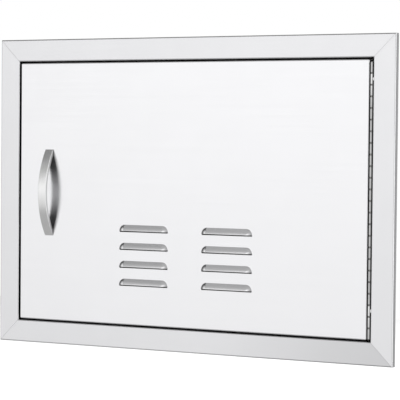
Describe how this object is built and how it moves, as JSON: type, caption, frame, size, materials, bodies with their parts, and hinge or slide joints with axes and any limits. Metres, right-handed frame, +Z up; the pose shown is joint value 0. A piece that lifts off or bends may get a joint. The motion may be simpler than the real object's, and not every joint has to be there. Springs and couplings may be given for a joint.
{
  "type": "built-in access door",
  "caption": "Flush-framed stainless access door for an outdoor kitchen island, with a louvred panel on a continuous hinge, a bow handle and a magnetic catch.",
  "frame": {"origin": "centre of the wall cut-out, in the plane of the wall that the frame's hems rest on", "axes": "+X to the right seen from the front, +Y back into the wall, +Z up"},
  "size_m": [0.61, 0.0695, 0.432],
  "materials": {
    "frame_steel": "stainless sheet, fine brushed along each rail",
    "door_steel": "stainless sheet, fine horizontal brush",
    "liner_steel": "stainless sheet, mill finish",
    "handle_steel": "solid stainless bar, satin",
    "hinge_steel": "rolled stainless strip",
    "weld_steel": "dressed weld bead",
    "stop_steel": "folded stainless sheet, mill finish",
    "plated_steel": "plated steel",
    "fastener_steel": "stainless fasteners",
    "bumper_rubber": "soft black rubber",
    "catch_plastic": "moulded plastic",
    "ferrite": "pressed ferrite"
  },
  "bodies": {
    "frame": {"frame_top_rail": "frame_steel", "frame_bottom_rail": "frame_steel", "frame_left_stile": "frame_steel", "frame_right_stile": "frame_steel", "door_stop_top": "stop_steel", "door_stop_bottom": "stop_steel", "door_stop_left": "stop_steel", "stop_bumpers": "bumper_rubber", "catch_housing": "catch_plastic", "catch_pole_plates": "plated_steel", "catch_magnet": "ferrite", "catch_screws": "fastener_steel", "hinge_frame_leaf": "hinge_steel", "hinge_pin": "hinge_steel", "hinge_tack_welds": "weld_steel"},
    "door": {"door_front_pan": "door_steel", "door_back_liner": "liner_steel", "strike_plate": "plated_steel", "strike_rivets": "fastener_steel", "hinge_door_leaf": "hinge_steel", "handle_bar": "handle_steel", "handle_screws": "fastener_steel", "handle_washers": "fastener_steel"}
  },
  "joints": [
    {"name": "door_swing", "type": "hinge", "parent": "frame", "child": "door", "pos_m": [0.2711, -0.0092, 0], "axis": [0, 0, 1], "range_deg": [0, 110]}
  ]
}
